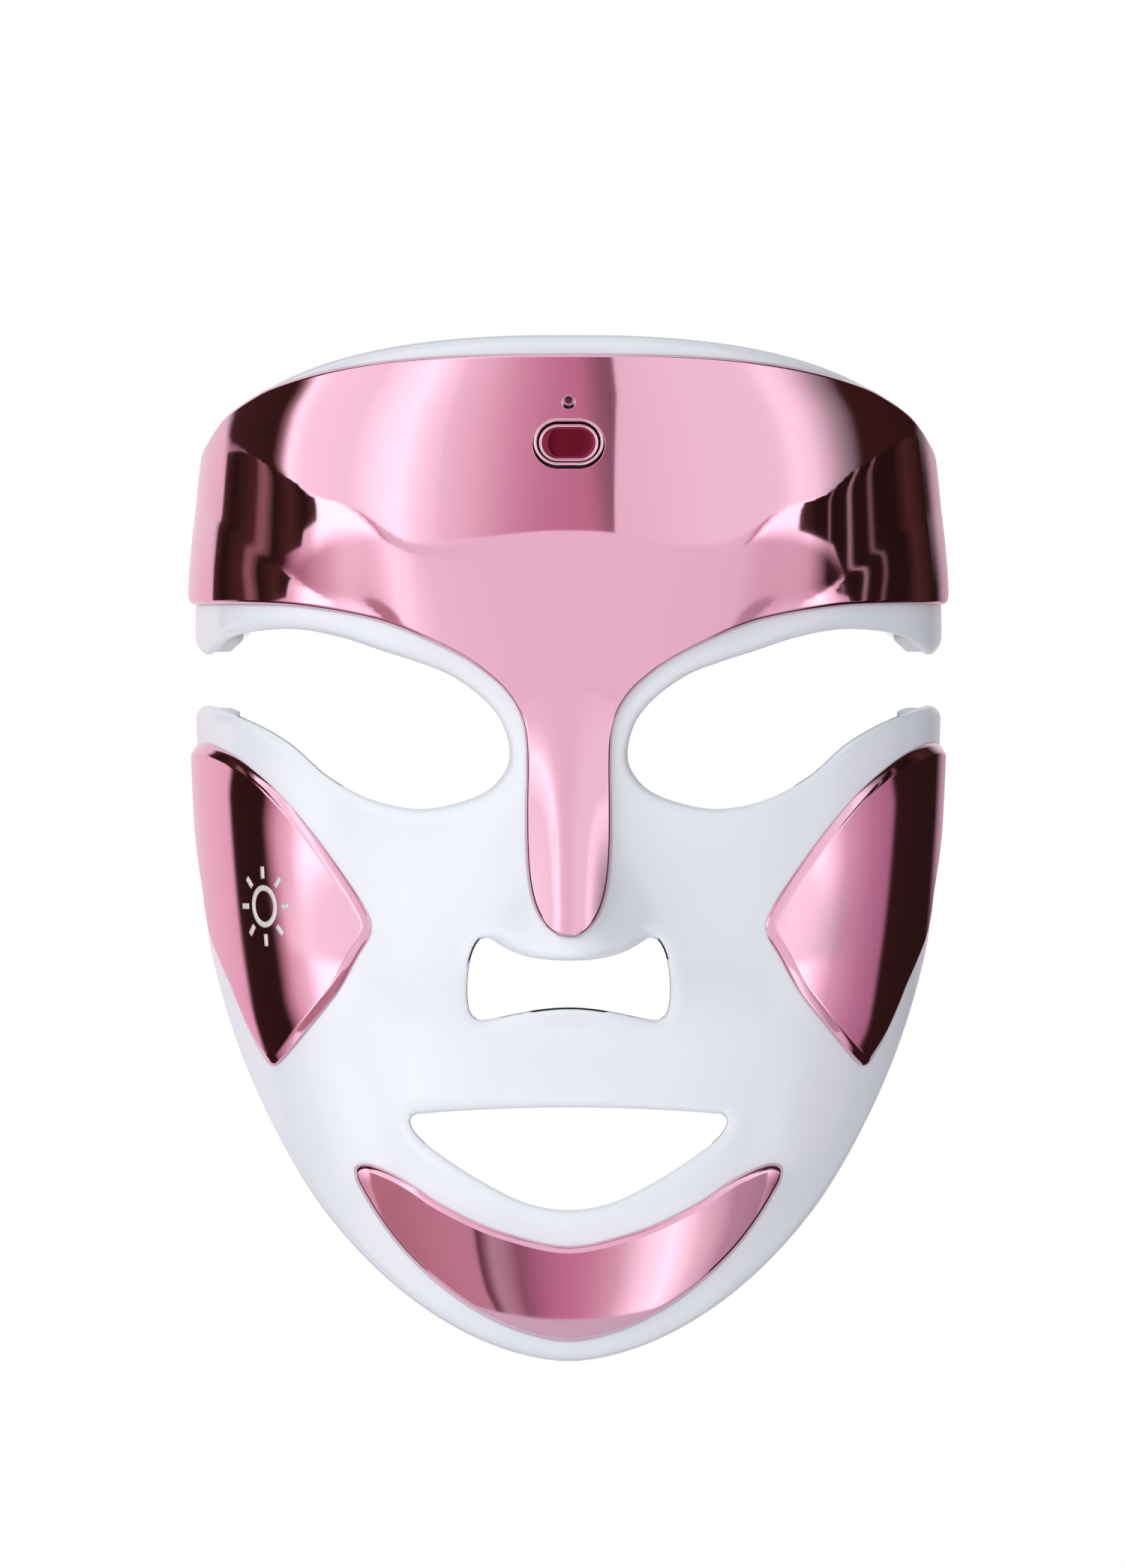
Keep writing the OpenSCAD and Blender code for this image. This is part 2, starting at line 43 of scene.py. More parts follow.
# ---------------------------------------------------------------- head curve, in millimetres
SIDE_W = 88.6
TOP_Z = 88.3
CHIN_Z = 147.0
TEMPLE_Y = 52.0
BACK_Y = 66.0
POWER = 2.3
SHELL_T = 2.0
COVER_T = 1.6
COVER_GAP = 0.15
LENS_T = 1.5
LENS_GAP = 6.5
POCKET_GAP = 6.0
SEAT_DEPTH = 8.0
ARCH_Z, ARCH_POWER = 50.0, 2.45
JAW_Z, JAW_POWER = -30.0, 1.78

WIDTH = [(-150, SIDE_W - 24), (-120, SIDE_W - 16), (-90, SIDE_W - 9), (-60, SIDE_W - 3.8),
         (-30, SIDE_W - 1.3), (0, SIDE_W), (30, SIDE_W), (50, SIDE_W - 1.7), (70, SIDE_W - 4.3),
         (90, SIDE_W - 9.5)]
FRONT = [(-150, -9), (-130, -20), (-110, -25), (-90, -24), (-60, -18), (-30, -14), (0, -14),
         (30, -19), (50, -18), (70, -13), (90, -3)]
NOSE = [(-150, 0), (-80, 0), (-68, 3), (-56, 20), (-50, 21), (-40, 18), (-20, 10), (0, 3), (12, 0),
        (90, 0)]
NOSE_W = [(-150, 16), (-60, 17), (-40, 14), (-20, 12), (0, 12), (90, 14)]
CREASE = [(0, 35), (34, 38), (48, 48), (60, 53), (81, 69), (95, 76)]
BROW_SLOPE, BROW_DROP = 0.25, 22.0


def curve(points, at):
    """Smooth curve through points (position, value), as in the CAD source."""
    xs = np.array([p[0] for p in points], float)
    ys = np.array([p[1] for p in points], float)
    at = np.asarray(at, float)
    i = np.clip(np.searchsorted(xs, at, side="right") - 1, 0, len(xs) - 2)
    low, high = np.maximum(np.arange(len(xs)) - 1, 0), np.minimum(np.arange(len(xs)) + 1, len(xs) - 1)
    slope = (ys[high] - ys[low]) / (xs[high] - xs[low])
    h = xs[i + 1] - xs[i]
    t = (at - xs[i]) / h
    return (ys[i] * (2 * t**3 - 3 * t**2 + 1) + slope[i] * h * (t**3 - 2 * t**2 + t)
            + ys[i + 1] * (3 * t**2 - 2 * t**3) + slope[i + 1] * h * (t**3 - t**2))


def ease(a, b, z):
    t = np.clip((np.asarray(z, float) - a) / (b - a), 0, 1)
    return t * t * (3 - 2 * t)


def ramp(d, w):
    return (d + np.sqrt(d * d + w * w)) / 2


def bump(s):
    return 1 / (1 + s * s) ** 2


def half_w(z):
    return curve(WIDTH, z)


def depth_at(z):
    return BACK_Y - curve(FRONT, z)


def relief(x, z):
    """Brow band leaning back under its crease, and the nose."""
    drop = curve(CREASE, np.minimum(abs(x), 94)) - z
    soft = 1 + 11 * bump(x / 22)
    brow = BROW_SLOPE * (ramp(drop, soft) - ramp(drop - BROW_DROP, soft))
    return brow - curve(NOSE, z) * bump(x / (1.6 * curve(NOSE_W, z)))


def across(t):
    return np.maximum(0, 1 - np.minimum(1, abs(t)) ** POWER) ** (1 / POWER)


ZERO = np.zeros(1)
SEAT_SHIFT = -SEAT_DEPTH - float(curve(FRONT, 0)) - float(relief(ZERO, ZERO)[0])


def front_y(x, z):
    return BACK_Y - depth_at(z) * across(x / half_w(z)) + relief(x, z) + SEAT_SHIFT


def normals(x, z, h=0.2):
    w, d = half_w(z), depth_at(z)
    t = np.minimum(abs(x) / w, 0.99999)
    b = across(t)
    dw = (half_w(z + h) - half_w(z - h)) / (2 * h)
    dd = (depth_at(z + h) - depth_at(z - h)) / (2 * h)
    rx = (relief(x + h, z) - relief(x - h, z)) / (2 * h)
    rz = (relief(x, z + h) - relief(x, z - h)) / (2 * h)
    gx = np.sign(x) * t ** (POWER - 1) / w
    gy = -(b ** (POWER - 1)) / d
    gz = -(t**POWER) * dw / w - b**POWER * dd / d
    v = np.stack([gx - gy * rx, gy, gz - gy * rz], axis=1)
    return v / np.linalg.norm(v, axis=1, keepdims=True)


def arc_w(a, h, p):
    return a * np.maximum(0, 1 - np.minimum(1, h) ** p) ** (1 / p)


def outline_w(z):
    z = np.asarray(z, float)
    top = arc_w(half_w(ARCH_Z), np.maximum(0, z - ARCH_Z) / (TOP_Z - ARCH_Z), ARCH_POWER)
    jaw = arc_w(half_w(JAW_Z), np.maximum(0, JAW_Z - z) / (CHIN_Z + JAW_Z), JAW_POWER)
    return np.where(z > ARCH_Z, top, np.where(z < JAW_Z, jaw, half_w(z)))


def edge_w(z):
    rear = half_w(z) * (1 - ((BACK_Y - TEMPLE_Y) / depth_at(z)) ** POWER) ** (1 / POWER)
    return np.minimum(outline_w(z), rear)


def lens_out(z):
    return -LENS_GAP - POCKET_GAP * ease(14, 40, z)


# Flat map of the skin: a runs round the head in millimetres, z is height
def to_map(points):
    p = np.asarray(points, float)
    return np.stack([SIDE_W * np.arcsin(np.clip(p[:, 0] / half_w(p[:, 1]), -1, 1)), p[:, 1]], axis=1)


def from_map(m):
    return half_w(m[:, 1]) * np.sin(m[:, 0] / SIDE_W), m[:, 1]


DEEP, DEEP_REACH = -5.0, 8.0


def lift(m, out):
    """Points and normals over map places, moved outwards by out millimetres.

    Deep inside, the normals are taken over a wider reach, so that the layer doesn't fold under a ridge.
    """
    x, z = from_map(m)
    n = normals(x, z, np.where(np.asarray(out) < DEEP, DEEP_REACH, 0.2))
    p = np.stack([x, front_y(x, z), z], axis=1) + n * np.reshape(out, (-1, 1))
    return p, n


# ---------------------------------------------------------------- outlines
def smooth(points, step, closed=True):
    """Even points along a smooth line through the given ones."""
    p = np.asarray(points, float)
    n = len(p)
    out = []
    for i in range(n if closed else n - 1):
        if closed:
            a, b, c, d = p[(i - 1) % n], p[i], p[(i + 1) % n], p[(i + 2) % n]
        else:
            a, b, c, d = p[max(i - 1, 0)], p[i], p[i + 1], p[min(i + 2, n - 1)]
        la, lb, lc = (max(1e-6, math.sqrt(np.linalg.norm(v))) for v in (b - a, c - b, d - c))
        m1 = (b - a) / la - (c - a) / (la + lb) + (c - b) / lb if la > 1e-5 else (c - b) / lb
        m2 = (c - b) / lb - (d - b) / (lb + lc) + (d - c) / lc if lc > 1e-5 else (c - b) / lb
        for t in np.linspace(0, 1, 12, endpoint=False):
            out.append(b * (2 * t**3 - 3 * t**2 + 1) + m1 * lb * (t**3 - 2 * t**2 + t)
                       + c * (3 * t**2 - 2 * t**3) + m2 * lb * (t**3 - t**2))
    if not closed:
        out.append(p[-1])
    return even_steps(np.array(out), step, closed)


def even_steps(p, step, closed):
    q = np.vstack([p, p[:1]]) if closed else p
    s = np.concatenate([[0], np.cumsum(np.linalg.norm(np.diff(q, axis=0), axis=1))])
    n = max(8, int(round(s[-1] / step)))
    at = np.linspace(0, s[-1], n, endpoint=False) if closed else np.linspace(0, s[-1], n + 1)
    return np.stack([np.interp(at, s, q[:, k]) for k in (0, 1)], axis=1)


def mirrored(right):
    """Closed outline from its right half, listed from the top middle down to the bottom middle."""
    left = [(-x, z) for x, z in reversed(right) if abs(x) > 1e-6]
    return list(right) + left


EYE = [(86.9, 16.2), (85.6, 15.6), (83.6, 17.0), (80, 19.0), (72, 20.7), (62, 20.9), (52, 18.9),
       (42, 15.6), (34, 13), (27.3, 10.3), (20, 5.2), (15.6, 0), (13.6, -6), (13.9, -10.5), (17.7, -15.6),
       (24, -18.6), (34, -20.4), (45.5, -18.2), (55.3, -13), (64.5, -5.2), (74, 0), (82, 2.5), (86.6, 3.6)]
NOSE_HOLE = [(0, -54.7), (8, -54.1), (13, -52.7), (16.3, -50.9), (18.2, -49.8), (19.9, -49.9),
             (21.3, -51.6), (22.5, -55), (23.1, -60), (23.0, -64.5), (22.3, -67.2), (20.4, -68.5),
             (17, -68.1), (12, -67.1), (6, -66), (0, -65.6)]
MOUTH = [(0, -88.4), (12, -88.6), (24, -89.2), (32.5, -89.9), (35.6, -90.4), (36.3, -91.6), (35.6, -93.6),
         (33.2, -96.3), (29.8, -98.9), (21.8, -104.1), (11.9, -109.3), (6, -111.1), (0, -111.7)]
BROW_EDGE = [(87.6, 27.9), (84, 27.2), (76, 26.9), (62, 26), (47, 23.4), (38.8, 20.8), (32.7, 18.2),
             (27.2, 15.6), (22.5, 13), (18.4, 10), (15, 7), (12.4, 3.5), (10.8, 0), (10, -4), (9.8, -10),
             (10, -20), (10, -28), (9.7, -34), (9, -39), (7.8, -43), (5.9, -46.3), (3.3, -48.5), (0, -49.2)]
CHEEK_IN = [(84.5, -5.2), (78.4, -7.8), (71.3, -13), (65.8, -18.2), (59, -26), (51.2, -36.4),
            (47.1, -42.6), (45.7, -45.4), (45.3, -47.6), (45.9, -50), (48.1, -53.6), (53.1, -62.5), (61.4, -72.9),
            (65.6, -77.8), (67.6, -79.6), (69.3, -79.6), (70.6, -78)]
CHEEK_INSET = [(-82, 20), (-78, 17.8), (-73, 14.3), (-62, 14.5), (-52, 11.5), (-41, 8.5), (-33, 4.5),
               (-26, 2), (-5, 1.5)]
CHIN = [(0, -120), (14, -117.1), (21, -114.5), (26.2, -112), (31.2, -109.3), (35, -106.7), (39.4, -104.2),
        (44, -102.2), (47.3, -101.6), (49.1, -102.6), (49, -105), (46.8, -109.3), (43.5, -114.5),
        (39.6, -119.7), (34.7, -124.9), (28.8, -130.1), (21.3, -135.3), (11, -140.1), (0, -142.3)]
COVER_TOP, COVER_ARCH_POWER = 83.9, 2.9
TIP = 0.05  # keeps the outline's top and bottom off the curve's very end


def edge_points(z_list):
    return [(float(edge_w(z)), float(z)) for z in z_list]


def arch_zs(low, high, power, n):
    return [low + (high - low) * math.sin(math.radians(90 * i / n)) ** (2 / power)
            for i in range(n, -1, -1)]


def shell_outline(step):
    """Whole outer edge of the shell, with the eye slots that open at the temples."""
    top = edge_points(arch_zs(ARCH_Z, TOP_Z - TIP, ARCH_POWER, 14))
    upper_side = edge_points([44, 38, 32, 26, 21, 18.6])
    lower_side = edge_points([2.0, -2, -10, -20, -30])
    jaw = edge_points([JAW_Z - (CHIN_Z + JAW_Z - TIP) * math.sin(math.radians(90 * i / 18))
                       for i in range(1, 19)])
    right = [(0, TOP_Z - TIP)] + top + upper_side + EYE + lower_side + jaw + [(0, TIP - CHIN_Z)]
    return smooth(to_map(mirrored(right)), step)


def hole(points, step):
    return smooth(to_map(mirrored(points)), step)


def forehead_outline(step):
    zs = arch_zs(ARCH_Z, COVER_TOP, COVER_ARCH_POWER, 14)
    arch = [(min(float(arc_w(SIDE_W, (z - ARCH_Z) / (COVER_TOP - ARCH_Z), COVER_ARCH_POWER)),
                 float(edge_w(z)) - 0.15), z) for z in zs]
    side = [(float(edge_w(z)) - 0.03, z) for z in (44, 38, 33, 30)]
    return smooth(to_map(mirrored([(0, COVER_TOP)] + arch + side + BROW_EDGE)), step)


def cheek_outline(side, step):
    inner = to_map([(x, z) for x, z in CHEEK_IN])
    outer_z = [-73, -67, -62, -57, -52, -46, -41, -36, -31, -26, -20, -14, -9.5, -6.6]
    edge = to_map([(float(edge_w(z)), z) for z in outer_z])
    edge[:, 0] -= curve(CHEEK_INSET, outer_z)
    loop = smooth(np.vstack([inner, edge]), step)
    loop[:, 0] *= side
    return loop if side > 0 else loop[::-1]


def pill_hole(w, h, at_z, tilt, step):
    """Outline in the map of a hole with round ends, cut square to the button."""
    turns = [2 * math.pi * (i + 0.5) / 96 for i in range(96)]
    x = [h / 2 * math.cos(a) + math.copysign((w - h) / 2, math.cos(a)) for a in turns]
    z = [at_z + h / 2 * math.sin(a) * math.cos(tilt) for a in turns]
    return even_steps(to_map(np.stack([x, z], axis=1)), step, True)


# ---------------------------------------------------------------- plates over the map
def area(loop):
    x, y = loop[:, 0], loop[:, 1]
    return 0.5 * float(np.sum(x * np.roll(y, -1) - np.roll(x, -1) * y))


def inward(loop, solid_inside=True):
    """Unit directions across the outline, towards the material."""
    along = np.roll(loop, -1, axis=0) - np.roll(loop, 1, axis=0)
    along /= np.linalg.norm(along, axis=1, keepdims=True) + 1e-12
    turn = (1 if area(loop) > 0 else -1) * (1 if solid_inside else -1)
    return np.stack([-along[:, 1], along[:, 0]], axis=1) * turn


def inside(points, loop):
    x, y = points[:, 0], points[:, 1]
    hit = np.zeros(len(points), bool)
    for (x1, y1), (x2, y2) in zip(loop, np.roll(loop, -1, axis=0)):
        if y1 != y2:
            hit ^= ((y1 > y) != (y2 > y)) & (x < (x2 - x1) * (y - y1) / (y2 - y1) + x1)
    return hit


def distance(points, loop):
    """Distance from each point to the outline's segments."""
    out = np.full(len(points), 1e9)
    for a, b in zip(loop, np.roll(loop, -1, axis=0)):
        ab = b - a
        t = np.clip(((points - a) @ ab) / (ab @ ab + 1e-12), 0, 1)
        out = np.minimum(out, np.linalg.norm(points - a - t[:, None] * ab, axis=1))
    return out


def shrink(loop, inset, solid_inside=True, step=1.6):
    """Outline moved towards the material, without the loops that tight corners would make."""
    ring = loop + inward(loop, solid_inside) * inset
    ring = ring[distance(ring, loop) > inset * 0.97]
    return even_steps(ring, step, True)


def straight_share(n):
    """How far a cut edge runs straight back instead of square to the skin: not at the temples."""
    return ease(0.35, 0.6, -n[:, 1])


def offset_way(n, share):
    """Offset direction that stays on the parallel skin, from square to the skin to straight back."""
    back = np.zeros_like(n)
    back[:, 1] = 1 / np.minimum(n[:, 1], -0.3)
    return n * (1 - share[:, None]) + back * share[:, None]


def surface(m, out, share=None):
    """Points and true normals of the skin offset by out(z)."""
    h = 0.05
    p, base = lift(m, out(m[:, 1]))
    if share is not None:
        p = p + (offset_way(base, share) - base) * out(m[:, 1])[:, None]
    du = lift(m + [h, 0], out(m[:, 1]))[0] - lift(m - [h, 0], out(m[:, 1]))[0]
    dv = lift(m + [0, h], out(m[:, 1] + h))[0] - lift(m - [0, h], out(m[:, 1] - h))[0]
    n = np.cross(du, dv)
    return p, n / np.linalg.norm(n, axis=1, keepdims=True), du / (2 * h), dv / (2 * h)


def make(name, verts, faces, corners, nodes, mats, body="mask"):
    """Mesh object in metres with its own corner normals, riding on a body."""
    me = bpy.data.meshes.new(name)
    me.from_pydata((np.asarray(verts) * MM).tolist(), [], [list(map(int, f)) for f in faces])
    me.shade_smooth()
    if corners is not None:
        me.normals_split_custom_set(np.asarray(corners).tolist())
    o = bpy.data.objects.new(name, me)
    bpy.context.scene.collection.objects.link(o)
    for m in mats:
        me.materials.append(m)
    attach(o, body)
    if nodes:
        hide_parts(*nodes)
    return o


EDGE_REACH = 9.0  # how far from a cut the skin still leans to run straight back


def plate(name, outer, holes, profiles, top, bottom, spacing, nodes, mat):
    """Closed skin piece over the map; each rim follows its profile of (distance in, drop)."""
    loops = [(outer, True, profiles[0])] + [(h, False, p) for h, p in zip(holes, profiles[1:])]
    places, ways, drops, slopes, bonds = [], [], [], [], []
    for loop, is_outer, profile in loops:
        d = inward(loop, is_outer)
        ins, dr = np.array(profile).T
        rates = np.gradient(dr, ins)
        rates[-1] = 0
        for k, inset in enumerate(ins):
            ring = loop + d * inset
            ok = np.ones(len(ring), bool) if k == 0 else distance(ring, loop) > inset * 0.96
            start = sum(map(len, places))
            if k == 0:
                bonds += [(start + i, start + (i + 1) % len(ring)) for i in range(len(ring))]
            places.append(ring[ok])
            ways.append(d[ok])
            drops.append(np.full(int(ok.sum()), dr[k]))
            slopes.append(np.full(int(ok.sum()), rates[k]))
    low, high = outer.min(axis=0), outer.max(axis=0)
    rows = np.arange(low[1], high[1], spacing * 0.866)
    first = -spacing * round(-low[0] / spacing) if low[0] < 0 else low[0]
    cols = np.arange(first, high[0], spacing)
    grid = np.array([(c + (k % 2) * spacing / 2, r) for k, r in enumerate(rows) for c in cols])
    grid = grid[inside(grid, outer)]
    for loop, is_outer, profile in loops:
        if not is_outer:
            grid = grid[~inside(grid, loop)]
        grid = grid[distance(grid, loop) > profile[-1][0] + spacing * 0.5]
    places.append(grid)
    ways.append(np.zeros_like(grid))
    drops.append(np.zeros(len(grid)))
    slopes.append(np.zeros(len(grid)))
    flat = np.vstack(places)
    res = delaunay_2d_cdt([Vector(p) for p in flat], bonds, [], 0, 1e-7)
    m = np.array([tuple(v) for v in res[0]])
    source = np.array([o[0] if len(o) else 0 for o in res[3]])
    way, drop, slope = (np.concatenate(v)[source] for v in (ways, drops, slopes))
    tri = np.array([f for f in res[2] if len(f) == 3])
    mid = m[tri].mean(axis=1)
    good = inside(mid, outer)
    for h in holes:
        good &= ~inside(mid, h)
    tri = tri[good]
    near = np.min([distance(m, loop) for loop, _, _ in loops], axis=0)
    x, z = from_map(m)
    skin_n = normals(x, z)
    share = straight_share(skin_n) * (1 - ease(0, EDGE_REACH, near))
    base, n, du, dv = surface(m, top, share)
    front = base - offset_way(skin_n, share) * drop[:, None]
    way3 = du * way[:, :1] + dv * way[:, 1:]
    way3 /= np.linalg.norm(way3, axis=1, keepdims=True) + 1e-12
    soft = n + way3 * slope[:, None]
    soft /= np.linalg.norm(soft, axis=1, keepdims=True)
    back, nb, _, _ = surface(m, bottom, share)
    flip = np.einsum("ij,ij->i", np.cross(front[tri[:, 1]] - front[tri[:, 0]],
                                          front[tri[:, 2]] - front[tri[:, 0]]), n[tri[:, 0]]) < 0
    tri[flip] = tri[flip][:, ::-1]
    used = np.unique(tri)
    new = np.full(len(m), -1)
    new[used] = np.arange(len(used))
    tri, front, back, soft, nb, way3 = new[tri], front[used], back[used], soft[used], nb[used], way3[used]
    pairs = {(int(f[i]), int(f[(i + 1) % 3])) for f in tri for i in range(3)}
    rim = [(a, b) for a, b in pairs if (b, a) not in pairs]
    c = len(used)
    faces = [tuple(f) for f in tri] + [tuple(c + f[::-1]) for f in tri] + [(b, a, c + a, c + b) for a, b in rim]
    corners = ([soft[v] for f in tri for v in f] + [-nb[v] for f in tri for v in f[::-1]]
               + [-way3[v] for a, b in rim for v in (b, a, a, b)])
    return make(name, np.vstack([front, back]), faces, corners, nodes, [mat])


def wall(name, loops, top, bottom, width, nodes, mat):
    """Seal that follows outlines between two layers: a closed ring of oblong section for each."""
    verts, faces, corners = [], [], []
    for loop, is_outer in loops:
        d = inward(loop, is_outer)
        a, b = loop, loop + d * width
        rings = []
        for place, out in ((a, top), (b, top), (b, bottom), (a, bottom)):
            x, z = from_map(place)
            p, n, du, dv = surface(place, out, straight_share(normals(x, z)))
            rings.append((p, n, du * d[:, :1] + dv * d[:, 1:]))
        base, n = sum(map(len, verts)), len(loop)
        for p, _, _ in rings:
            verts.append(p)
        turn = 1 if (area(loop) > 0) == is_outer else -1
        for k in range(4):
            k2 = (k + 1) % 4
            sign, which = ((1, 1), (1, 2), (-1, 1), (-1, 2))[k]
            for i in range(n):
                j = (i + 1) % n
                f = (base + k * n + i, base + k2 * n + i, base + k2 * n + j, base + k * n + j)
                src = ((k, i), (k2, i), (k2, j), (k, j))
                if turn > 0:
                    f, src = f[::-1], src[::-1]
                faces.append(f)
                for q, v in src:
                    w = rings[q][which][v] * sign
                    corners.append(w / np.linalg.norm(w))
    return make(name, np.vstack(verts), faces, corners, nodes, [mat])


# ---------------------------------------------------------------- materials
def material(name, base, metallic=0.0, rough=0.4, speck=0.0, grain=0.0, scale=400.0, rough_var=0.0,
             tint=None, coat=0.0, alpha=1.0, transmission=0.0, ior=1.45):
    """Moulded or plated finish: fine grain in the bump, uneven gloss and slight colour drift."""
    m = bpy.data.materials.new(name)
    m.use_nodes = True
    nt = m.node_tree
    b = nt.nodes["Principled BSDF"]
    b.inputs["Base Color"].default_value = (*base, 1)
    b.inputs["Metallic"].default_value = metallic
    b.inputs["Roughness"].default_value = rough
    b.inputs["IOR"].default_value = ior
    b.inputs["Coat Weight"].default_value = coat
    b.inputs["Coat Roughness"].default_value = 0.06
    b.inputs["Alpha"].default_value = alpha
    b.inputs["Transmission Weight"].default_value = transmission
    coord = nt.nodes.new("ShaderNodeTexCoord")

    def noise(size, detail=3.0):
        t = nt.nodes.new("ShaderNodeTexNoise")
        t.inputs["Scale"].default_value = size
        t.inputs["Detail"].default_value = detail
        nt.links.new(coord.outputs["Object"], t.inputs["Vector"])
        return t

    if rough_var:
        t = noise(28.0, 4.0)
        r = nt.nodes.new("ShaderNodeMapRange")
        r.inputs["To Min"].default_value = max(0.01, rough - rough_var)
        r.inputs["To Max"].default_value = rough + rough_var
        nt.links.new(t.outputs["Fac"], r.inputs["Value"])
        nt.links.new(r.outputs["Result"], b.inputs["Roughness"])
    if tint:
        t = noise(scale * 0.06, 2.0)
        ramp_node = nt.nodes.new("ShaderNodeValToRGB")
        ramp_node.color_ramp.elements[0].position = 0.35
        ramp_node.color_ramp.elements[0].color = (*base, 1)
        ramp_node.color_ramp.elements[1].position = 0.68
        ramp_node.color_ramp.elements[1].color = (*tint, 1)
        nt.links.new(t.outputs["Fac"], ramp_node.inputs["Fac"])
        nt.links.new(ramp_node.outputs["Color"], b.inputs["Base Color"])
    if grain:
        t = noise(scale, 2.0)
        u = nt.nodes.new("ShaderNodeBump")
        u.inputs["Strength"].default_value = grain
        u.inputs["Distance"].default_value = 0.0002
        nt.links.new(t.outputs["Fac"], u.inputs["Height"])
        nt.links.new(u.outputs["Normal"], b.inputs["Normal"])
    return m


WHITE = material("gloss_white_plastic", (0.84, 0.85, 0.89), rough=0.22, grain=0.05, scale=900,
                 rough_var=0.05, tint=(0.82, 0.83, 0.875), coat=0.35)
ROSE = material("rose_mirror_plating", (0.86, 0.50, 0.63), metallic=1.0, rough=0.07, grain=0.012, scale=60,
                rough_var=0.03, tint=(0.84, 0.485, 0.615))
LENS = material("clear_panel_plastic", (0.93, 0.95, 0.97), rough=0.12, grain=0.03, rough_var=0.05, alpha=0.18,
                tint=(0.90, 0.92, 0.95))
SEAL = material("seal_rubber", (0.80, 0.81, 0.85), rough=0.5, grain=0.2, scale=1200, rough_var=0.08,
                tint=(0.77, 0.78, 0.82))
BOARD = material("light_board_white", (0.82, 0.83, 0.80), rough=0.45, grain=0.15, scale=1500, rough_var=0.06,
                 tint=(0.78, 0.80, 0.76))
LED = material("light_epoxy", (0.93, 0.86, 0.62), rough=0.18, grain=0.04, rough_var=0.04, tint=(0.95, 0.80, 0.5),
               coat=0.3)
FLEX = material("flat_cable_film", (0.78, 0.42, 0.10), rough=0.35, grain=0.1, scale=700, rough_var=0.08,
                tint=(0.70, 0.36, 0.08))
PCB = material("circuit_board_mask", (0.02, 0.22, 0.10), rough=0.35, grain=0.12, scale=1300, rough_var=0.06,
               tint=(0.02, 0.17, 0.08))
CHIP = material("chip_resin", (0.03, 0.03, 0.035), rough=0.5, grain=0.2, scale=1600, rough_var=0.08,
                tint=(0.045, 0.045, 0.05))
FOIL = material("battery_foil", (0.72, 0.74, 0.77), metallic=1.0, rough=0.3, grain=0.35, scale=260,
                rough_var=0.08, tint=(0.66, 0.68, 0.71))
STEEL = material("socket_steel", (0.60, 0.61, 0.63), metallic=1.0, rough=0.28, grain=0.1, scale=900,
                 rough_var=0.06, tint=(0.55, 0.56, 0.58))
CHROME = material("bright_chrome", (0.93, 0.74, 0.80), metallic=1.0, rough=0.06, grain=0.01, scale=120,
                  rough_var=0.03, tint=(0.90, 0.71, 0.77))
WINE = material("button_wine_plating", (0.24, 0.025, 0.055), metallic=1.0, rough=0.12, grain=0.02, scale=120,
                rough_var=0.04, tint=(0.20, 0.02, 0.045))
PIN = material("clear_pin", (0.10, 0.03, 0.05), rough=0.1, grain=0.02, rough_var=0.03, tint=(0.13, 0.04, 0.06))
ICON = material("pale_silver_print", (0.74, 0.70, 0.68), metallic=0.2, rough=0.35, grain=0.15, scale=1400,
                rough_var=0.08, tint=(0.78, 0.74, 0.72))

for names, mat in {
    "led_board_forehead led_board_cheek_left led_board_cheek_right led_board_lip led_board_chin": BOARD,
    "leds_forehead leds_cheek_left leds_cheek_right leds_lip leds_chin status_led": LED,
    "bridge_flex cheek_flex_left cheek_flex_right": FLEX,
    "main_board": PCB, "controller_chip tactile_switch": CHIP, "battery_cell": FOIL, "charging_socket": STEEL,
    "power_button": WINE, "button_bezel status_light_rim": CHROME, "status_light_pipe": PIN,
    "strap_lug_left strap_lug_right": WHITE,
}.items():
    for node in names.split():
        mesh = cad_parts[node].data
        if mesh.materials:
            for i in range(len(mesh.materials)):
                mesh.materials[i] = mat
        else:
            mesh.materials.append(mat)

# ---------------------------------------------------------------- the pieces
STEP = 1.3
SHELL_EDGE = [(0, 1.55), (0.12, 1.1), (0.4, 0.7), (0.9, 0.36), (1.6, 0.15), (2.4, 0.04), (3.2, 0)]
HOLE_EDGE = [(0, 1.9), (0.1, 1.45), (0.4, 0.95), (1.0, 0.5), (1.9, 0.2), (3.0, 0.05), (4.0, 0)]
COVER_RIM = [(0, 1.45), (0.08, 0.85), (0.25, 0.42), (0.5, 0.13), (0.8, 0.02), (1.1, 0)]
CHEEK_RIM = [(0, 1.5), (0.15, 1.28), (0.8, 0.85), (1.6, 0.33), (2.0, 0.12), (2.4, 0.02), (2.8, 0)]
CHIN_RIM = [(0, 1.5), (0.15, 1.15), (0.6, 0.6), (1.0, 0.22), (1.3, 0.05), (1.7, 0)]


def flat(value):
    return lambda z: np.zeros_like(z) + value


BUTTON_Z, CAP_W, CAP_H = 62.8, 13.8, 9.0
BEZEL_GAP, BEZEL_W, FIT = 0.35, 0.8, 0.2
LIGHT_Z, LIGHT_D = 72.4, 2.6
button_n = normals(np.zeros(1), np.array([BUTTON_Z]))[0]
button_up = np.array([0, button_n[2], -button_n[1]])
button_at = np.array([0, float(front_y(np.zeros(1), np.array([BUTTON_Z]))[0]), BUTTON_Z])
TILT = math.asin(button_n[2])
grow = 2 * (BEZEL_GAP + BEZEL_W + FIT)
button_hole = pill_hole(CAP_W + grow, CAP_H + grow, BUTTON_Z, TILT, 0.6)
light_hole = pill_hole(LIGHT_D + 2 * FIT + 1e-4, LIGHT_D + 2 * FIT, LIGHT_Z, TILT, 0.4)
CUT_RIM = [(0, 0.14), (0.08, 0.04), (0.2, 0)]

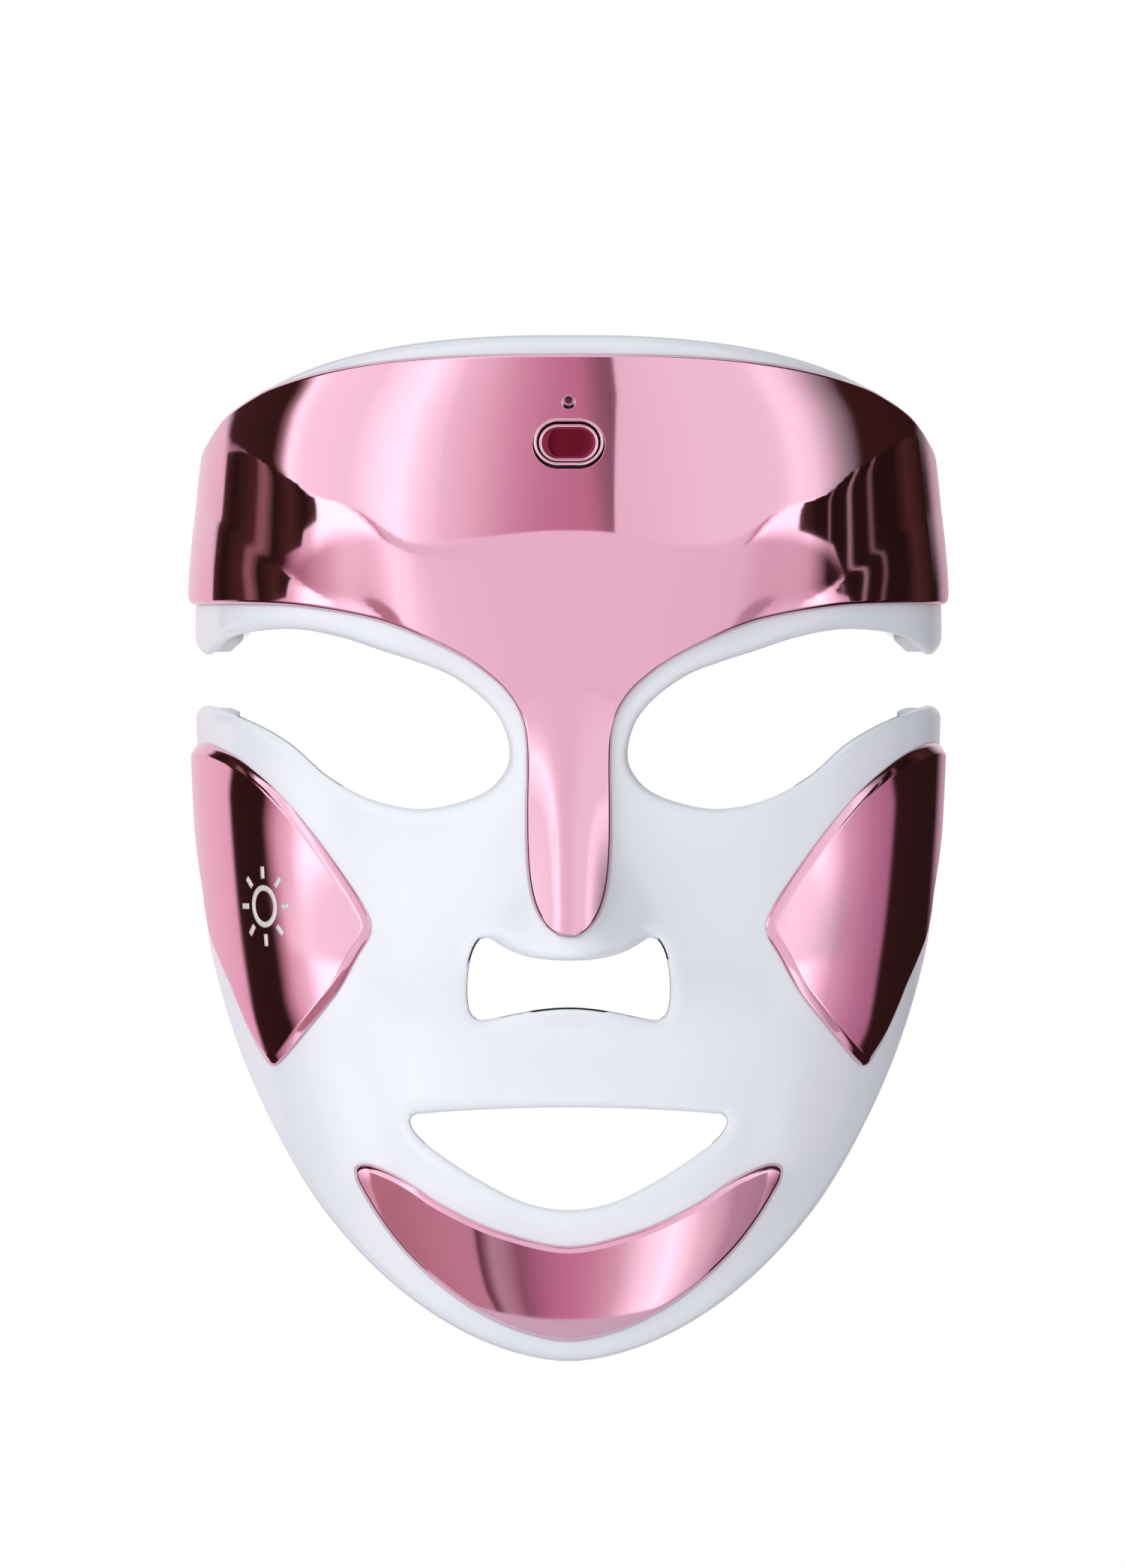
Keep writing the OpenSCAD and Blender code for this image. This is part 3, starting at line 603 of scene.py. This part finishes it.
outline = shell_outline(STEP)
nose_hole, mouth_hole = hole(NOSE_HOLE, STEP), hole(MOUTH, STEP)
plate("smooth_face_shell", outline, [nose_hole, mouth_hole, button_hole, light_hole],
      [SHELL_EDGE, HOLE_EDGE, HOLE_EDGE, CUT_RIM, CUT_RIM], flat(0), flat(-SHELL_T), 2.0, ["face_shell"],
      WHITE)
cover_top, cover_bottom = flat(COVER_GAP + COVER_T), flat(COVER_GAP)
plate("smooth_forehead_cover", forehead_outline(1.0), [button_hole, light_hole], [COVER_RIM, CUT_RIM, CUT_RIM],
      cover_top, cover_bottom, 1.5, ["forehead_cover"], ROSE)
for side, word in ((-1, "left"), (1, "right")):
    plate("smooth_cheek_cover_" + word, cheek_outline(side, 1.0), [], [CHEEK_RIM], cover_top, cover_bottom, 1.6,
          ["cheek_cover_" + word], ROSE)
plate("smooth_chin_cover", hole(CHIN, 1.0), [], [CHIN_RIM], cover_top, cover_bottom, 1.6, ["chin_cover"],
      ROSE)
LIGHT_ROOM = 0.6  # keeps the smooth panel behind the flat lights
lens_edge = [(0, 0.5), (0.2, 0.2), (0.6, 0)]
plate("smooth_inner_lens", shrink(outline, 2.5), [shrink(nose_hole, 2.5, False), shrink(mouth_hole, 2.5, False)],
      [lens_edge] * 3, lambda z: lens_out(z) - LIGHT_ROOM, lambda z: lens_out(z) - LENS_T - LIGHT_ROOM / 2, 3.0,
      ["inner_lens"], LENS)


def seal_end(z):
    return lens_out(z) + 0.1


wall("smooth_edge_seal", [(shrink(outline, 0.6), True)], flat(-SHELL_T), seal_end, 1.9,
     ["edge_gasket_top", "edge_gasket_jaw", "eye_rim_left", "eye_rim_right"], SEAL)
for word, loop in (("nose", nose_hole), ("mouth", mouth_hole)):
    wall("smooth_%s_rim" % word, [(shrink(loop, 0.5, False), False)], flat(-SHELL_T), seal_end, 1.6,
         [word + "_rim"], SEAL)


# ---------------------------------------------------------------- button and mark
def pill_rings(name, profile, closed, body, node, mat):
    """Rings round the button's outline: each profile point is (distance out from the cap, height)."""
    n, verts, faces = 96, [], []
    for grow, height in profile:
        r, half = CAP_H / 2 + grow, (CAP_W - CAP_H) / 2
        for i in range(n):
            a = 2 * math.pi * (i + 0.5) / n
            x = r * math.cos(a) + math.copysign(half, math.cos(a))
            verts.append(button_at + np.array([x, 0, 0]) + button_up * r * math.sin(a) + button_n * height)
    m = len(profile)
    for k in range(m if closed else m - 1):
        for i in range(n):
            j, k2 = (i + 1) % n, (k + 1) % m
            faces.append((k * n + i, k * n + j, k2 * n + j, k2 * n + i))
    if not closed:
        faces.append(tuple(range(n))[::-1])
        faces.append(tuple((m - 1) * n + i for i in range(n)))
    return make(name, verts, faces, None, [node] if node else [], [mat], body)


pill_rings("smooth_power_button",
           [(0.0, -3.6), (0.6, -3.6), (0.6, -2.9), (0.0, -2.9), (0.0, 0.6), (-0.06, 0.9), (-0.2, 1.15), (-0.42, 1.28),
            (-0.62, 1.26), (-0.85, 1.1), (-1.1, 0.92), (-1.5, 0.78), (-2.1, 0.66), (-2.8, 0.58), (-3.6, 0.54),
            (-4.3, 0.52)], False, "button", "power_button", WINE)
pill_rings("smooth_button_rim",
           [(0.01, 0.5), (0.0, 0.85), (-0.08, 1.14), (-0.26, 1.32), (-0.48, 1.36), (-0.68, 1.26), (-0.82, 1.08),
            (-0.86, 0.5)], True, "button", None, CHROME)
low_out, high_out = BEZEL_GAP, BEZEL_GAP + BEZEL_W
pill_rings("smooth_button_bezel",
           [(high_out, -2.2), (high_out, 1.6), (high_out - .04, 1.85), (high_out - .13, 2.05), (high_out - .26, 2.18),
            (high_out - .4, 2.22), (low_out + .26, 2.17), (low_out + .13, 2.03), (low_out + .04, 1.8),
            (low_out, 1.55), (low_out, -2.2)], True, "mask", "button_bezel", CHROME)

SUN_AT, SUN_IN, SUN_OUT, RAY_FROM, RAY_TO, RAY_W = (-82.0, -43.0), 3.6, 4.9, 6.4, 9.2, 1.3


def sun_mark():
    """Small raised sun on the cheek cover: a ring and eight rays."""
    verts, faces, centre = [], [], np.array(SUN_AT)

    def strip(loop_in, loop_out, closed):
        n, base = len(loop_in), len(verts)
        for loop, out in ((loop_in, 1.7), (loop_in, 1.84), (loop_out, 1.84), (loop_out, 1.7)):
            verts.extend(lift(np.array(loop), np.full(n, out))[0])
        for i in range(n if closed else n - 1):
            j = (i + 1) % n
            for k in range(4):
                k2 = (k + 1) % 4
                faces.append((base + k * n + i, base + k2 * n + i, base + k2 * n + j, base + k * n + j))
        if not closed:
            faces.append(tuple(base + k * n for k in (3, 2, 1, 0)))
            faces.append(tuple(base + k * n + n - 1 for k in (0, 1, 2, 3)))

    turns = [2 * math.pi * i / 64 for i in range(64)]
    way = [np.array([math.cos(a), math.sin(a)]) for a in turns]
    strip([centre + w * SUN_IN for w in way], [centre + w * SUN_OUT for w in way], True)
    for k in range(8):
        w = np.array([math.cos(k * math.pi / 4), math.sin(k * math.pi / 4)])
        s = np.array([-w[1], w[0]]) * RAY_W / 2
        reach = np.linspace(RAY_FROM, RAY_TO, 5)
        strip([centre + w * r - s for r in reach], [centre + w * r + s for r in reach], False)
    make("sun_mark", verts, faces, None, [], [ICON])


sun_mark()

# ---------------------------------------------------------------- studio
scene = bpy.context.scene
scene.view_settings.view_transform = "Standard"
scene.view_settings.look = "None"

world = bpy.data.worlds.new("studio")
scene.world = world
world.use_nodes = True
wt = world.node_tree
wt.nodes.clear()


def world_node(kind, **values):
    n = wt.nodes.new(kind)
    for k, v in values.items():
        setattr(n, k, v)
    return n


def fill_ramp(node, stops, low, high):
    """Colour stops given over low..high; a single number stands for a grey."""
    r = node.color_ramp
    while len(r.elements) > 1:
        r.elements.remove(r.elements[0])
    r.elements[0].position = 0
    for k, (at, colour) in enumerate(stops):
        e = r.elements[0] if k == 0 else r.elements.new((at - low) / (high - low))
        e.color = (*(colour if isinstance(colour, tuple) else (colour,) * 3), 1)


# Studio by azimuth in degrees from the camera side, positive to the object's right
HIGH_WALLS = [
    (-180, (.9, .85, .88)), (-138, (.9, .8, .85)), (-133, (.05, .02, .02)), (-100, (.035, .014, .01)),
    (-96, (.3, .2, .2)), (-91, 1.5), (-84, 1.15), (-62, 1.08), (-52, 1.4), (-42, 1.6), (-34, 1.15),
    (-26, (1.0, .93, .97)), (-14, (.94, .86, .91)), (0, (.93, .84, .89)), (14, (.95, .90, .93)),
    (30, (1.0, .98, 1.0)),
    (58, 1.0), (66, 1.25), (74, 1.1), (80, .8), (87, .45), (93, .25), (99, (.04, .015, .01)),
    (142, (.03, .01, .008)), (150, .3), (158, .7), (180, .9)]
MID_WALLS = [
    (-180, (.92, .80, .85)), (-128, (.92, .68, .76)), (-121, (.90, .62, .70)), (-118.5, (.03, .012, .01)),
    (-98, (.025, .010, .008)), (-95, (.40, .22, .26)), (-90, (.85, .60, .65)), (-84, (1.0, .90, .92)),
    (-78, 1.8), (-67, 1.9), (-61, (.65, .40, .45)), (-56, (.90, .80, .85)), (-30, (.92, .86, .90)),
    (40, (.92, .84, .88)), (54, (.90, .80, .85)), (59, (.60, .35, .45)), (64, 1.5), (73, 1.8),
    (79, (1.2, 1.05, 1.08)), (84, (.78, .60, .68)), (91, (.65, .43, .52)), (98, (.54, .31, .43)),
    (109, (.43, .22, .32)), (111.5, (.03, .012, .01)), (148, (.02, .01, .008)), (156, (.5, .35, .4)),
    (180, (.8, .7, .75))]
LOW_WALLS = [
    (-180, (.92, .80, .85)), (-135, (.92, .70, .76)), (-129, (.03, .012, .01)), (-100, (.03, .012, .01)),
    (-90, (.45, .24, .30)), (-74, (.80, .60, .66)), (-62, 1.3), (-50, 1.2), (-36, (.98, .92, .95)),
    (-10, (.92, .86, .90)), (20, (.92, .85, .89)), (60, (.87, .80, .84)), (74, (.75, .55, .62)),
    (84, (.03, .012, .01)),
    (112, (.03, .012, .01)), (148, (.02, .01, .008)), (156, (.5, .35, .4)), (180, (.8, .7, .75))]
coord = world_node("ShaderNodeTexCoord")
parts = world_node("ShaderNodeSeparateXYZ")
wt.links.new(coord.outputs["Generated"], parts.inputs[0])
negate = world_node("ShaderNodeMath", operation="MULTIPLY")
negate.inputs[1].default_value = -1
wt.links.new(parts.outputs["Y"], negate.inputs[0])
angle = world_node("ShaderNodeMath", operation="ARCTAN2")
wt.links.new(parts.outputs["X"], angle.inputs[0])
wt.links.new(negate.outputs[0], angle.inputs[1])
turn = world_node("ShaderNodeMapRange")
turn.inputs["From Min"].default_value = -math.pi
turn.inputs["From Max"].default_value = math.pi
wt.links.new(angle.outputs[0], turn.inputs["Value"])


def walls_at(stops):
    n = world_node("ShaderNodeValToRGB")
    fill_ramp(n, stops, -180, 180)
    wt.links.new(turn.outputs["Result"], n.inputs["Fac"])
    return n.outputs["Color"]


def by_height(low_z, high_z, below, above):
    """Blend of two rings of walls between two heights on the unit sphere."""
    r = world_node("ShaderNodeMapRange", interpolation_type="SMOOTHSTEP")
    r.inputs["From Min"].default_value = low_z
    r.inputs["From Max"].default_value = high_z
    wt.links.new(parts.outputs["Z"], r.inputs["Value"])
    m = world_node("ShaderNodeMix", data_type="RGBA")
    wt.links.new(r.outputs["Result"], m.inputs["Factor"])
    wt.links.new(below, m.inputs[6])
    wt.links.new(above, m.inputs[7])
    return m.outputs[2]


lower = by_height(-0.20, -0.12, walls_at(LOW_WALLS), walls_at(MID_WALLS))
walls_colour = by_height(0.03, 0.12, lower, walls_at(HIGH_WALLS))
lightpath = world_node("ShaderNodeLightPath")
diffuse_bg = world_node("ShaderNodeBackground")
diffuse_bg.inputs["Color"].default_value = (0.93, 0.95, 1.0, 1)
diffuse_bg.inputs["Strength"].default_value = 0.66
mirror_bg = world_node("ShaderNodeBackground")
wt.links.new(walls_colour, mirror_bg.inputs["Color"])
seen_bg = world_node("ShaderNodeBackground")
seen_bg.inputs["Color"].default_value = (1, 1, 1, 1)
seen_bg.inputs["Strength"].default_value = 1.0
by_gloss = world_node("ShaderNodeMixShader")
wt.links.new(lightpath.outputs["Is Glossy Ray"], by_gloss.inputs["Fac"])
wt.links.new(diffuse_bg.outputs[0], by_gloss.inputs[1])
wt.links.new(mirror_bg.outputs[0], by_gloss.inputs[2])
by_camera = world_node("ShaderNodeMixShader")
wt.links.new(lightpath.outputs["Is Camera Ray"], by_camera.inputs["Fac"])
wt.links.new(by_gloss.outputs[0], by_camera.inputs[1])
wt.links.new(seen_bg.outputs[0], by_camera.inputs[2])
out_node = world_node("ShaderNodeOutputWorld")
wt.links.new(by_camera.outputs[0], out_node.inputs["Surface"])


def area_light(name, place, size, power):
    """Soft round light aimed at the mask, which mirrors don't show."""
    data = bpy.data.lights.new(name, "AREA")
    data.shape = "DISK"
    data.size = size
    data.energy = power
    o = bpy.data.objects.new(name, data)
    scene.collection.objects.link(o)
    o.location = place
    o.rotation_euler = (-Vector(place)).to_track_quat("-Z", "Y").to_euler()
    o.visible_glossy = False


area_light("key_left", (-1.1, -1.3, 0.6), 1.1, 12)
area_light("fill_low", (0.2, -1.5, -0.9), 1.2, 5)


def card(name, points, axis, stops):
    """Studio card seen only in reflections, shaded along one axis of its own place."""
    me = bpy.data.meshes.new(name)
    me.from_pydata(points, [], [tuple(range(len(points)))])
    o = bpy.data.objects.new(name, me)
    scene.collection.objects.link(o)
    m = bpy.data.materials.new(name + "_glow")
    m.use_nodes = True
    nt = m.node_tree
    nt.nodes.clear()
    tc = nt.nodes.new("ShaderNodeTexCoord")
    sep = nt.nodes.new("ShaderNodeSeparateXYZ")
    low, high = stops[0][0], stops[-1][0]
    span = nt.nodes.new("ShaderNodeMapRange")
    span.inputs["From Min"].default_value = low
    span.inputs["From Max"].default_value = high
    tint = nt.nodes.new("ShaderNodeValToRGB")
    fill_ramp(tint, stops, low, high)
    glow = nt.nodes.new("ShaderNodeEmission")
    out = nt.nodes.new("ShaderNodeOutputMaterial")
    nt.links.new(tc.outputs["Object"], sep.inputs[0])
    nt.links.new(sep.outputs[axis], span.inputs["Value"])
    nt.links.new(span.outputs["Result"], tint.inputs["Fac"])
    nt.links.new(tint.outputs["Color"], glow.inputs["Color"])
    nt.links.new(glow.outputs[0], out.inputs["Surface"])
    me.materials.append(m)
    o.visible_camera = o.visible_diffuse = o.visible_shadow = o.visible_transmission = False


DARK, BROWN = (.018, .008, .006), (.07, .028, .022)
card("card_right", [(.20, -.055, .020), (.20, .0, .022), (.20, .03, -.002), (.20, .20, -.004), (.20, .20, .085),
                    (.20, .01, .085), (.20, -.02, .062), (.20, -.055, .055)], "Y",
     [(-.055, BROWN), (-.03, DARK), (-.012, DARK), (-.008, (.30, .2, .22)), (-.004, DARK), (.02, DARK),
      (.024, (.45, .32, .36)), (.030, DARK), (.05, DARK), (.056, (.22, .14, .16)), (.062, DARK), (.10, DARK),
      (.13, BROWN), (.20, DARK)])
card("card_left", [(-.20, -.025, .032), (-.20, .0, .030), (-.20, .004, .022), (-.20, .03, .022), (-.20, .034, .016),
                   (-.20, .15, .014), (-.20, .15, .075), (-.20, .0, .075), (-.20, -.012, .060),
                   (-.20, -.025, .055)], "Y",
     [(-.025, BROWN), (.0, DARK), (.02, BROWN), (.045, DARK), (.06, (.28, .16, .15)), (.068, (.25, .14, .13)),
      (.075, BROWN), (.12, DARK), (.15, BROWN)])
card("card_chin", [(-.5, -.13, -.34), (.5, -.13, -.34), (.5, -.13, -.148), (-.5, -.13, -.148)], "X",
     [(-.5, (.50, .28, .31)), (-.26, (.50, .28, .31)), (-.11, (.58, .35, .40)), (-.091, (.58, .36, .41)),
      (-.086, (.12, .05, .06)), (-.080, (.20, .10, .12)), (-.068, (.52, .40, .43)), (-.052, (.45, .30, .34)),
      (-.039, (.29, .14, .19)), (-.015, (.50, .23, .34)), (.0, (.60, .29, .41)), (.015, (.66, .38, .48)),
      (.039, (.78, .62, .66)), (.068, 1.2), (.104, 1.6), (.157, (.95, .9, .9)), (.25, (.55, .42, .48)),
      (.5, (.42, .34, .38))])
card("card_middle", [(-.065, -.075, .049), (.0122, -.075, .049), (.015, -.075, .077), (.0175, -.075, .105),
                     (.021, -.075, .150), (.024, -.075, .26), (-.065, -.075, .26)], "X",
     [(-.065, (1.02, .94, .98)), (-.042, (.90, .72, .78)), (-.020, (.72, .45, .55)), (-.003, (.61, .31, .42)),
      (.004, (.56, .27, .37)), (.010, (.36, .19, .24)), (.016, (.26, .14, .17)), (.024, (.24, .13, .16))])

floor_mesh = bpy.data.meshes.new("floor")
FLOOR_R, FLOOR_Z, FLOOR_SIDES = 0.45, -0.6, 96
turns = [2 * math.pi * i / FLOOR_SIDES for i in range(FLOOR_SIDES)]
floor_mesh.from_pydata([(FLOOR_R * math.cos(a), FLOOR_R * math.sin(a), FLOOR_Z) for a in turns], [],
                       [tuple(range(FLOOR_SIDES))])
floor = bpy.data.objects.new("floor", floor_mesh)
scene.collection.objects.link(floor)
floor_mesh.materials.append(material("pale_floor", (0.86, 0.86, 0.87), rough=0.6, grain=0.05, rough_var=0.05))

# ---------------------------------------------------------------- camera
VIEW_X, VIEW_Z, VIEW_H = -0.0014, -0.0147, 0.3626  # middle and height of the view
PLANE_Y, AWAY = 0.02, 2.2  # where that height is measured, and how far off the camera stands
SENSOR = 36
cam_data = bpy.data.cameras.new("camera")
cam_data.sensor_fit = "VERTICAL"
cam_data.sensor_height = SENSOR
cam_data.lens = SENSOR * AWAY / VIEW_H
cam = bpy.data.objects.new("camera", cam_data)
scene.collection.objects.link(cam)
cam.location = (VIEW_X, PLANE_Y - AWAY, VIEW_Z)
cam.rotation_euler = (math.pi / 2, 0, 0)
scene.camera = cam
